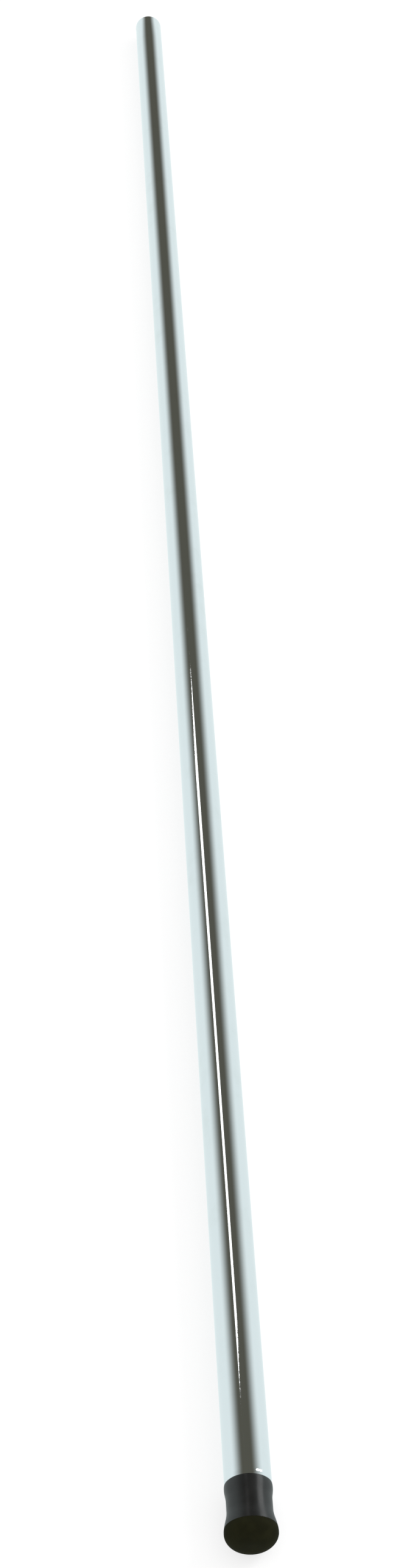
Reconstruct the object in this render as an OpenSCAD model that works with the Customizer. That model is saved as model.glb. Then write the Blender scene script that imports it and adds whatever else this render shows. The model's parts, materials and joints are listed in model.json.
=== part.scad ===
// Straight chromed steel tube with a moulded rubber foot on one end and the other end open.
// Lengths are in millimetres. The tube lies along Y on its foot's widest ring: the foot is at
// the -Y end, the open end is at +Y, and the lowest point is at Z = 0.

/* [Tube] */
// Outside diameter of the chromed tube
tube_od = 25.4; // [25:0.1:32]
// Wall thickness of the tube
tube_wall = 1.5; // [1:0.1:2]
// Length of bare tube, from the mouth of the foot to the open end
tube_length = 1650; // [300:1:2500]
// Length of the rounded shoulder where the tube is swaged down at the foot
shoulder_length = 3.2; // [1:0.1:4]
// How far the shoulder's curve drops inside the tube's surface
shoulder_drop = 0.6; // [0.2:0.05:1]
// Radius rounding the cut rims of the tube
rim_radius = 0.4; // [0.2:0.1:0.5]

/* [Spigot] */
// Outside diameter of the swaged spigot that the foot is pressed on
spigot_od = 20; // [16:0.1:20]
// Length of the spigot
spigot_length = 22; // [15:1:24]

/* [Foot] */
// How far the bead at the mouth stands proud of the tube
bead_proud = 0.25; // [0.1:0.05:1]
// Distance from the mouth to the widest ring of the bead
bead_at = 2.5; // [2:0.5:5]
// How far the waist lies inside the tube's surface
waist_inset = 0.4; // [0:0.05:1]
// Distance from the mouth to the start of the waist
waist_start = 9; // [8:0.5:12]
// Distance from the mouth to the end of the waist
waist_end = 15; // [13:0.5:18]
// How far the flare at the base stands proud of the tube
flare_proud = 1.7; // [1:0.05:4]
// Distance from the mouth to the widest ring of the flare
flare_at = 27.5; // [26:0.5:32]
// Distance from the mouth to the edge where the smooth wall ends and the dome begins
dome_at = 25.2; // [24:0.1:27]
// How far the edge of the dome lies inside the widest ring
dome_edge = 0.25; // [0.2:0.05:0.5]
// Depth of the dome below the widest ring
base_depth = 8.5; // [5:0.5:12]
// Diameter of the flat sole
sole_d = 6; // [4:0.5:16]

/* [Washer] */
// Thickness of the steel disc at the bottom of the foot's socket
washer_thickness = 1.6; // [1:0.1:2.5]
// Clear gap around the disc
washer_gap = 0.2; // [0.1:0.1:0.5]

/* [Hidden] */
$fn = 96;

arc_steps = 8;
blend_steps = 8;
tube_r = tube_od / 2;
bore_r = tube_r - tube_wall;
spigot_r = spigot_od / 2;
spigot_bore_r = spigot_r - tube_wall;
inner_bend_r = 0.5;
bead_r = tube_r + bead_proud;
waist_r = tube_r - waist_inset;
flare_r = tube_r + flare_proud;
sole_r = sole_d / 2;
socket_depth = spigot_length + washer_thickness;
foot_length = flare_at + base_depth;
overall_length = foot_length + tube_length;
mouth_y = foot_length - overall_length / 2;
axis_z = flare_r;

// Points of an arc in the profile plane, [radius, place along the axis].
function arc(centre, rx, ry, from, to, steps = arc_steps) =
    [for (i = [0:steps])
        let (a = from + (to - from) * i / steps)
            centre + [rx * cos(a), ry * sin(a)]];

// Points of a smooth S from one radius to another, without its first point. It may stop early,
// at a share of its length.
function ease(r0, s0, r1, s1, share = 1) =
    [for (i = [1:blend_steps])
        let (t = share * i / blend_steps)
            [r0 + (r1 - r0) * (1 - cos(180 * t)) / 2, -(s0 + (s1 - s0) * t)]];

// Turns a profile about the tube's axis: its second coordinate runs towards +Y from the mouth.
module turned(profile) {
    translate([0, mouth_y, axis_z])
        rotate([-90, 0, 0])
            rotate_extrude()
                polygon(profile);
}

// Chromed tube with rounded rims, swaged down to a spigot at the foot end.
module tube() {
    outside = concat(
        arc([tube_r - rim_radius, tube_length - rim_radius], rim_radius, rim_radius, 90, 0),
        arc([tube_r - shoulder_drop, shoulder_length], shoulder_drop, shoulder_length, 0, -90),
        [[spigot_r, 0]],
        arc([spigot_r - rim_radius, rim_radius - spigot_length], rim_radius, rim_radius, 0, -90));
    inside = concat(
        [[spigot_bore_r, -spigot_length], [spigot_bore_r, tube_wall]],
        arc([bore_r - inner_bend_r, tube_wall + inner_bend_r],
            inner_bend_r, inner_bend_r, -90, 0),
        [[bore_r, tube_length]]);
    color([0.80, 0.82, 0.84])
        turned(concat(outside, inside));
}

// Rubber foot: beaded mouth, waist and flare, a dome with a small flat sole, and a socket for
// the spigot.
module foot() {
    flare_share = (dome_at - waist_end) / (flare_at - waist_end);
    wall = concat(
        arc([tube_r, -bead_at], bead_proud, bead_at, 90, 0),
        ease(bead_r, bead_at, waist_r, waist_start),
        [[waist_r, -waist_end]],
        ease(waist_r, waist_end, flare_r, flare_at, flare_share));
    base = concat(
        arc([flare_r - dome_edge, -flare_at], dome_edge, flare_at - dome_at, 90, 0, 4),
        arc([sole_r, -flare_at], flare_r - sole_r, base_depth, -90 / arc_steps, -90));
    socket = [[0, -foot_length], [0, -socket_depth], [spigot_r, -socket_depth], [spigot_r, 0]];
    color([0.07, 0.07, 0.08])
        turned(concat(wall, base, socket));
}

// Steel disc moulded in at the bottom of the socket, which carries the end of the spigot.
module foot_washer() {
    color([0.55, 0.56, 0.58])
        translate([0, mouth_y - socket_depth, axis_z])
            rotate([-90, 0, 0])
                cylinder(h = washer_thickness, r = spigot_r - washer_gap);
}

tube();
foot();
foot_washer();
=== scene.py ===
"""Chromed pole with a rubber foot, lying on a pale floor. Lengths are in metres unless a name
says otherwise."""

import json
import math

import bpy
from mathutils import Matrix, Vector


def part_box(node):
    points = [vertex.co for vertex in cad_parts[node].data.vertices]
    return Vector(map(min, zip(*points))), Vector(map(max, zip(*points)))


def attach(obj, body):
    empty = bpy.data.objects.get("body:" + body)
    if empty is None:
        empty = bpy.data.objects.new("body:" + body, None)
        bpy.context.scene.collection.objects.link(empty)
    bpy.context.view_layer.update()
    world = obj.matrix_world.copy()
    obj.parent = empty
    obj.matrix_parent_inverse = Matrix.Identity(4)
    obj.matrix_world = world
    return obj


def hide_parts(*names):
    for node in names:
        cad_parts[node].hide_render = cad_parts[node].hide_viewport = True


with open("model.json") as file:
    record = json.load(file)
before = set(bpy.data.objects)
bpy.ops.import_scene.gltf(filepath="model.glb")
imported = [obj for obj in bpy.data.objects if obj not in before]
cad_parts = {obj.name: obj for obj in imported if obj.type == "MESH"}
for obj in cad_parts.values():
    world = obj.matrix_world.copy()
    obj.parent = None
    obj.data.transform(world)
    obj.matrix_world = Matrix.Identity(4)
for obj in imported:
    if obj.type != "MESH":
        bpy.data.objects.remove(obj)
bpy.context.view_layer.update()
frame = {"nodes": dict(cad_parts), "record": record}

MM = 0.001

# ---- Sizes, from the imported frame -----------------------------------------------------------

MOUNTS = {mount["name"]: mount for mount in frame["record"]["mounts"]}
TUBE_LOW, TUBE_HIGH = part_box("tube")
FOOT_LOW, FOOT_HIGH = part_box("foot")
MOUTH_Y = FOOT_HIGH.y
OPEN_END_Y = TUBE_HIGH.y
AXIS_Z = (FOOT_LOW.z + FOOT_HIGH.z) / 2
TUBE_R = MOUNTS["tube_outside"]["dims"]["r_mm"] * MM
BORE_R = MOUNTS["open_end_bore"]["dims"]["r_mm"] * MM
WALL = TUBE_R - BORE_R
TUBE_LENGTH = OPEN_END_Y - MOUTH_Y
SPIGOT_LENGTH = MOUTH_Y - TUBE_LOW.y
FLARE_R = (FOOT_HIGH.z - FOOT_LOW.z) / 2
FOOT_LENGTH = MOUTH_Y - FOOT_LOW.y
SOCKET_DEPTH = MOUTH_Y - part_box("foot_washer")[0].y

# ---- Sizes of details, as in the CAD model ---------------------------------------------------

SPIGOT_R = 10 * MM
SHOULDER_LENGTH = 3.2 * MM
SHOULDER_DROP = 0.6 * MM
INNER_BEND_R = 0.5 * MM
RIM_RADIUS = 0.4 * MM
BEAD_R = TUBE_R + 0.25 * MM
BEAD_AT = 2.5 * MM
WAIST_R = TUBE_R - 0.4 * MM
WAIST_START = 9 * MM
WAIST_END = 15 * MM
FLARE_AT = 27.5 * MM
SOLE_R = 3 * MM
DOME_AT = 25.2 * MM
DOME_EDGE = 0.25 * MM

# Details that only the visual model has
SEGMENTS = 192
LIP_RADIUS = 0.5 * MM
WELD_HEIGHT = 0.35 * MM
WELD_WIDTH = 1.0 * MM
WELD_TURN = math.radians(205)


# ---- Camera ------------------------------------------------------------------------------------

CAMERA_BEHIND_MOUTH = 0.630
CAMERA_LEFT = 0.0554
CAMERA_HEIGHT = 1.1436
CAMERA_PITCH = math.radians(44.17)
CAMERA_TURN = math.radians(2.73)
CAMERA_LENS_MM = 54.0


def make_camera():
    """Camera above and behind the foot, looking down along the tube."""
    data = bpy.data.cameras.new("camera")
    data.lens = CAMERA_LENS_MM
    data.clip_end = 100
    camera = bpy.data.objects.new("camera", data)
    bpy.context.scene.collection.objects.link(camera)
    camera.location = (-CAMERA_LEFT, MOUTH_Y - CAMERA_BEHIND_MOUTH, CAMERA_HEIGHT)
    camera.rotation_euler = (math.pi / 2 - CAMERA_PITCH, 0, -CAMERA_TURN)
    bpy.context.scene.camera = camera


# ---- Shader building ---------------------------------------------------------------------------

class Shader:
    """A node tree, with a short call for each kind of node that the materials use."""

    def __init__(self, owner):
        owner.use_nodes = True
        self.tree = owner.node_tree
        self.tree.nodes.clear()

    def put(self, socket, value):
        """Links a node's output to a socket, or sets the socket to a plain value."""
        if isinstance(value, bpy.types.NodeSocket):
            self.tree.links.new(value, socket)
        else:
            socket.default_value = value

    def node(self, kind, settings=None, **inputs):
        """A node of that kind; input names are written with _ for a space."""
        made = self.tree.nodes.new(kind)
        for name, value in (settings or {}).items():
            setattr(made, name, value)
        for name, value in inputs.items():
            self.put(made.inputs[name.replace("_", " ")], value)
        return made

    def maths(self, operation, *values, clamp=False):
        made = self.node("ShaderNodeMath", {"operation": operation, "use_clamp": clamp})
        for socket, value in zip(made.inputs, values):
            self.put(socket, value)
        return made.outputs[0]

    def smooth(self, value, low, high):
        """0 below low, 1 above high, and a smooth step between."""
        made = self.node("ShaderNodeMapRange", {"interpolation_type": "SMOOTHSTEP"})
        for socket, item in zip(made.inputs, (value, low, high)):
            self.put(socket, item)
        return made.outputs[0]

    def mix(self, share, a, b):
        made = self.node("ShaderNodeMix", {"data_type": "RGBA"})
        self.put(made.inputs["Factor"], share)
        self.put(made.inputs["A"], a)
        self.put(made.inputs["B"], b)
        return made.outputs["Result"]

    def ramp(self, share, stops):
        """Colour ramp from (place, colour) pairs."""
        made = self.node("ShaderNodeValToRGB", Fac=share)
        elements = made.color_ramp.elements
        for index, (place, colour) in enumerate(stops):
            element = elements[index] if index < 2 else elements.new(place)
            element.position = place
            element.color = (*colour, 1)
        return made.outputs["Color"]

    def scaled(self, vector, x, y, z):
        made = self.node("ShaderNodeVectorMath", {"operation": "MULTIPLY"})
        self.put(made.inputs[0], vector)
        self.put(made.inputs[1], (x, y, z))
        return made.outputs["Vector"]

    def noise(self, vector, scale, detail=2.0, roughness=0.5):
        made = self.node("ShaderNodeTexNoise", Vector=vector, Scale=scale, Detail=detail,
                         Roughness=roughness)
        return made.outputs["Fac"]

    def bump(self, height, distance, strength=1.0, normal=None):
        made = self.node("ShaderNodeBump", Height=height, Distance=distance, Strength=strength)
        if normal is not None:
            self.put(made.inputs["Normal"], normal)
        return made.outputs["Normal"]

    def finish(self, **inputs):
        """Ends the tree in a Principled shader with these inputs."""
        shader = self.node("ShaderNodeBsdfPrincipled", **inputs)
        self.node("ShaderNodeOutputMaterial", Surface=shader.outputs["BSDF"])


def new_material(name):
    material = bpy.data.materials.new(name)
    return material, Shader(material)


# ---- Materials ----------------------------------------------------------------------------------

CHROME_TINT = (0.80, 0.82, 0.84)


def chrome():
    """Bright chrome plate: polishing marks run around the tube, with faint smudges and pits."""
    material, s = new_material("chrome_plate")
    place = s.node("ShaderNodeTexCoord").outputs["Object"]
    ripples = s.noise(s.scaled(place, 45, 330, 45), 1.0, detail=2.0)
    rings = s.noise(s.scaled(place, 60, 1100, 60), 1.0, detail=3.0, roughness=0.6)
    sway = s.noise(s.scaled(place, 14, 9, 14), 1.0, detail=1.0)
    pits = s.node("ShaderNodeTexVoronoi", {"feature": "F1"}, Vector=place, Scale=300.0)
    pit = s.smooth(pits.outputs["Distance"], 0.06, 0.01)
    smudges = s.noise(place, 38.0, detail=4.0, roughness=0.62)
    normal = s.bump(sway, 0.15 * MM)
    normal = s.bump(ripples, 0.013 * MM, normal=normal)
    normal = s.bump(rings, 0.002 * MM, normal=normal)
    normal = s.bump(pit, -0.0015 * MM, normal=normal)
    rough = s.maths("MULTIPLY_ADD", s.smooth(smudges, 0.45, 0.75), 0.06, 0.03)
    tint = s.mix(s.smooth(smudges, 0.5, 0.8), (*CHROME_TINT, 1), (0.76, 0.78, 0.79, 1))
    s.finish(Base_Color=tint, Metallic=1.0, Roughness=rough, Normal=normal)
    return material


def bare_steel():
    """Dull unplated steel inside the bore, with a little mill scale."""
    material, s = new_material("bare_steel")
    place = s.node("ShaderNodeTexCoord").outputs["Object"]
    scale = s.noise(s.scaled(place, 220, 60, 220), 1.0, detail=5.0, roughness=0.65)
    colour = s.ramp(scale, [(0.3, (0.16, 0.155, 0.15)), (0.55, (0.30, 0.295, 0.29)),
                            (0.8, (0.42, 0.41, 0.40))])
    s.finish(Base_Color=colour, Metallic=0.5,
             Roughness=s.maths("MULTIPLY_ADD", scale, 0.3, 0.32),
             Normal=s.bump(scale, 0.06 * MM))
    return material


def rubber_surface(name, colour, roughness, spread, specular, anisotropy, grain_height):
    """Moulded black rubber with fine mould grain, mottled a little by handling.

    Anisotropy is for the fine rings that a turned mould leaves, which draw highlights out."""
    material, s = new_material(name)
    place = s.node("ShaderNodeTexCoord").outputs["Object"]
    grain = s.noise(place, 2600.0, detail=3.0, roughness=0.6)
    mottle = s.noise(place, 140.0, detail=3.0)
    colour = s.mix(s.smooth(mottle, 0.35, 0.75), (*colour, 1),
                   (*(share * 1.4 for share in colour), 1))
    normal = s.bump(grain, grain_height, normal=s.bump(mottle, 0.05 * MM))
    around = s.node("ShaderNodeTangent", {"direction_type": "RADIAL", "axis": "Y"})
    s.finish(Base_Color=colour, Roughness=s.maths("MULTIPLY_ADD", mottle, spread, roughness),
             Specular_IOR_Level=specular, Anisotropic=anisotropy, Anisotropic_Rotation=0.25,
             Tangent=around.outputs["Tangent"], Normal=normal)
    return material


def smooth_rubber():
    """The foot's wall: satin, with fine rings around it from the turned mould."""
    return rubber_surface("foot_rubber", colour=(0.010, 0.010, 0.010), roughness=0.40,
                          spread=0.05, specular=0.5, anisotropy=0.92, grain_height=0.006 * MM)


def scuffed_rubber():
    """The foot's dome: dull and a little browned where it has been stood on."""
    return rubber_surface("scuffed_rubber", colour=(0.010, 0.010, 0.004), roughness=0.75,
                          spread=0.2, specular=0.05, anisotropy=0.0, grain_height=0.03 * MM)


def washer_steel():
    """Stamped steel disc with turned marks."""
    material, s = new_material("washer_steel")
    place = s.node("ShaderNodeTexCoord").outputs["Object"]
    marks = s.noise(s.scaled(place, 500, 90, 1800), 1.0, detail=3.0)
    colour = s.mix(marks, (0.42, 0.42, 0.43, 1), (0.60, 0.60, 0.61, 1))
    s.finish(Base_Color=colour, Metallic=1.0,
             Roughness=s.maths("MULTIPLY_ADD", marks, 0.2, 0.28),
             Normal=s.bump(marks, 0.02 * MM))
    return material


# ---- Turned shapes ------------------------------------------------------------------------------

def arc(radius_at, along_at, rx, ry, start, end, steps=10):
    """Points of an arc in the profile plane, as (radius, place along the axis from the mouth)."""
    turns = [math.radians(start + (end - start) * i / steps) for i in range(steps + 1)]
    return [(radius_at + rx * math.cos(t), along_at + ry * math.sin(t)) for t in turns]


def ease(r0, s0, r1, s1, share=1, steps=16):
    """Points of a smooth S from radius r0 at depth s0 to r1 at s1, without its first point.

    It may stop early, at a share of its length."""
    points = []
    for i in range(1, steps + 1):
        t = share * i / steps
        points.append((r0 + (r1 - r0) * (1 - math.cos(math.pi * t)) / 2, -(s0 + (s1 - s0) * t)))
    return points


def turned(name, outline, bulge=None, closed=True):
    """A mesh that turns an outline of (radius, along) about the tube's axis.

    bulge(radius, along, turn) may give a change of radius. A radius of 0 becomes one point."""
    vertices = []
    rings = []
    for radius, along in outline:
        count = 1 if radius == 0 else SEGMENTS
        rings.append(range(len(vertices), len(vertices) + count))
        for k in range(count):
            turn = 2 * math.pi * k / SEGMENTS
            r = radius + (bulge(radius, along, turn) if bulge and radius else 0)
            vertices.append((r * math.sin(turn), MOUTH_Y + along, AXIS_Z + r * math.cos(turn)))
    pairs = list(zip(rings, rings[1:] + rings[:1] if closed else rings[1:]))
    faces = []
    face_rings = []
    for index, (a, b) in enumerate(pairs):
        for k in range(SEGMENTS):
            n = (k + 1) % SEGMENTS
            corners = [a[k % len(a)], a[n % len(a)], b[n % len(b)], b[k % len(b)]]
            face = list(dict.fromkeys(corners))
            if len(face) > 2:
                faces.append(face)
                face_rings.append(index)
    mesh = bpy.data.meshes.new(name)
    mesh.from_pydata(vertices, [], faces)
    mesh.polygons.foreach_set("use_smooth", [True] * len(faces))
    mesh.set_sharp_from_angle(angle=math.radians(32))
    mesh.validate()
    piece = bpy.data.objects.new(name, mesh)
    bpy.context.scene.collection.objects.link(piece)
    return piece, face_rings


def make_tube(plated, bare):
    """The tube: rounded rims, a swaged shoulder and spigot, and a weld bead along the bore."""
    spigot_bore_r = SPIGOT_R - WALL
    outside = (
        arc(BORE_R + RIM_RADIUS, TUBE_LENGTH - RIM_RADIUS, RIM_RADIUS, RIM_RADIUS, 180, 90, 5)
        + arc(TUBE_R - RIM_RADIUS, TUBE_LENGTH - RIM_RADIUS, RIM_RADIUS, RIM_RADIUS, 90, 0, 5)
        + [(TUBE_R, TUBE_LENGTH * k / 40) for k in range(39, 0, -1)]
        + arc(TUBE_R - SHOULDER_DROP, SHOULDER_LENGTH, SHOULDER_DROP, SHOULDER_LENGTH,
              0, -90, 24)
        + [(SPIGOT_R, 0)]
        + arc(SPIGOT_R - RIM_RADIUS, RIM_RADIUS - SPIGOT_LENGTH, RIM_RADIUS, RIM_RADIUS, 0, -90, 4))
    inside = (
        [(spigot_bore_r, -SPIGOT_LENGTH), (spigot_bore_r, WALL)]
        + arc(BORE_R - INNER_BEND_R, WALL + INNER_BEND_R, INNER_BEND_R, INNER_BEND_R, -90, 0, 6)
        + [(BORE_R, TUBE_LENGTH * k / 40) for k in range(1, 40)])

    def weld(radius, along, turn):
        """A low bead inside the bore, along the tube's lengthwise weld."""
        if radius > BORE_R or along < WALL:
            return 0
        across = (turn - WELD_TURN) * BORE_R / WELD_WIDTH
        return -WELD_HEIGHT * math.exp(-across * across)

    tube, face_rings = turned("chromed_tube", outside + inside, weld)
    tube.data.materials.append(plated)
    tube.data.materials.append(bare)
    first_inside = len(outside) - 1
    for face, ring in zip(tube.data.polygons, face_rings):
        face.material_index = 1 if ring >= first_inside else 0
    return tube


def make_foot(wall_rubber, dome_rubber):
    """The foot: lipped mouth, bead, waist and flare, then a scuffed dome, sole and socket."""
    base_depth = FOOT_LENGTH - FLARE_AT
    flare_share = (DOME_AT - WAIST_END) / (FLARE_AT - WAIST_END)
    wall = (
        arc(TUBE_R - 0.1 * MM - LIP_RADIUS, -LIP_RADIUS, LIP_RADIUS, LIP_RADIUS, 90, 35, 5)
        + arc(TUBE_R, -BEAD_AT, BEAD_R - TUBE_R, BEAD_AT - 0.3 * MM, 70, 0, 6)
        + ease(BEAD_R, BEAD_AT, WAIST_R, WAIST_START)
        + [(WAIST_R, -WAIST_END)]
        + ease(WAIST_R, WAIST_END, FLARE_R, FLARE_AT, flare_share, 24))
    dome = (
        arc(FLARE_R - DOME_EDGE, -FLARE_AT, DOME_EDGE, FLARE_AT - DOME_AT, 90, 0, 10)
        + arc(SOLE_R, -FLARE_AT, FLARE_R - SOLE_R, base_depth, -4, -90, 26))
    sole = [(0, -FOOT_LENGTH)]
    socket = [(0, -SOCKET_DEPTH), (SPIGOT_R, -SOCKET_DEPTH), (SPIGOT_R, -LIP_RADIUS / 2),
              (SPIGOT_R + LIP_RADIUS / 2, 0)]
    foot, face_rings = turned("rubber_foot", wall + dome + sole + socket)
    foot.data.materials.append(wall_rubber)
    foot.data.materials.append(dome_rubber)
    first_dome = len(wall) - 1
    for face, ring in zip(foot.data.polygons, face_rings):
        face.material_index = 1 if first_dome <= ring < first_dome + len(dome + sole) else 0
    return foot


# ---- Stage --------------------------------------------------------------------------------------

FLOOR_HALF = 30.0


def make_floor():
    """Plain pale floor."""
    mesh = bpy.data.meshes.new("stage_floor")
    corners = [(-FLOOR_HALF, -FLOOR_HALF, 0), (FLOOR_HALF, -FLOOR_HALF, 0),
               (FLOOR_HALF, FLOOR_HALF, 0), (-FLOOR_HALF, FLOOR_HALF, 0)]
    mesh.from_pydata(corners, [], [(0, 1, 2, 3)])
    floor = bpy.data.objects.new("stage_floor", mesh)
    bpy.context.scene.collection.objects.link(floor)
    floor.visible_glossy = False
    material, s = new_material("stage_floor")
    s.finish(Base_Color=(0.30, 0.30, 0.30, 1), Roughness=0.9, Specular_IOR_Level=0.0,
             Emission_Color=(1, 1, 1, 1), Emission_Strength=0.71)
    mesh.materials.append(material)


# What polished surfaces mirror: pale walls, and a darker ceiling along the tube.
WALLS = (0.85, 0.95, 0.95)
CEILING = (0.10, 0.10, 0.08)
CEILING_EDGE = 20
WALL_EDGE = 80
SEEN_BACKDROP = 0.95
EVEN_LIGHT = 0.90


def make_world():
    """Plain pale studio. Polished surfaces see its walls and its darker ceiling, which meet in a
    soft fade between two angles about the tube's axis, in degrees from overhead."""
    world = bpy.data.worlds.new("studio")
    world.cycles.sampling_method = "NONE"
    bpy.context.scene.world = world
    s = Shader(world)
    generated = s.node("ShaderNodeTexCoord").outputs["Generated"]
    way = s.node("ShaderNodeSeparateXYZ", Vector=generated).outputs
    turn = s.maths("MULTIPLY", s.maths("ARCTAN2", way["X"], way["Z"]), math.degrees(1))
    from_overhead = s.maths("ABSOLUTE", turn)
    room = s.mix(s.smooth(from_overhead, CEILING_EDGE, WALL_EDGE), (*CEILING, 1), (*WALLS, 1))
    path = s.node("ShaderNodeLightPath").outputs
    even = s.mix(path["Is Camera Ray"], (EVEN_LIGHT,) * 3 + (1,), (SEEN_BACKDROP,) * 3 + (1,))
    seen = s.mix(path["Is Glossy Ray"], even, room)
    background = s.node("ShaderNodeBackground", Color=seen, Strength=1.0)
    s.node("ShaderNodeOutputWorld", Surface=background.outputs["Background"])


def make_softbox(name, place, width, length, energy, mirrored=True):
    """A soft rectangular light aimed at the middle of the tube."""
    data = bpy.data.lights.new(name, "AREA")
    data.shape = "RECTANGLE"
    data.size = width
    data.size_y = length
    data.energy = energy
    light = bpy.data.objects.new(name, data)
    bpy.context.scene.collection.objects.link(light)
    light.location = place
    light.rotation_euler = (-Vector(place)).to_track_quat("-Z", "Y").to_euler()
    light.visible_glossy = mirrored
    light.visible_camera = False


def make_lights():
    """A large key light that isn't mirrored, and two narrow softboxes that are."""
    make_softbox("stage_key", (1.8, 0, 2.2), width=1.6, length=3.0, energy=15, mirrored=False)
    make_softbox("stage_overhead", (-0.4, 1.2, 2.0), width=0.4, length=1.2, energy=3)
    make_softbox("stage_side", (2.0, 0.2, 1.4), width=0.3, length=1.2, energy=25)


# ---- Build --------------------------------------------------------------------------------------

make_camera()
make_floor()
make_world()
make_lights()

tube = make_tube(chrome(), bare_steel())
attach(tube, "root")
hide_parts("tube")

foot = make_foot(smooth_rubber(), scuffed_rubber())
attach(foot, "root")
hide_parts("foot")

washer = frame["nodes"]["foot_washer"]
washer.data.materials.clear()
washer.data.materials.append(washer_steel())

bpy.context.scene.view_settings.view_transform = "Standard"
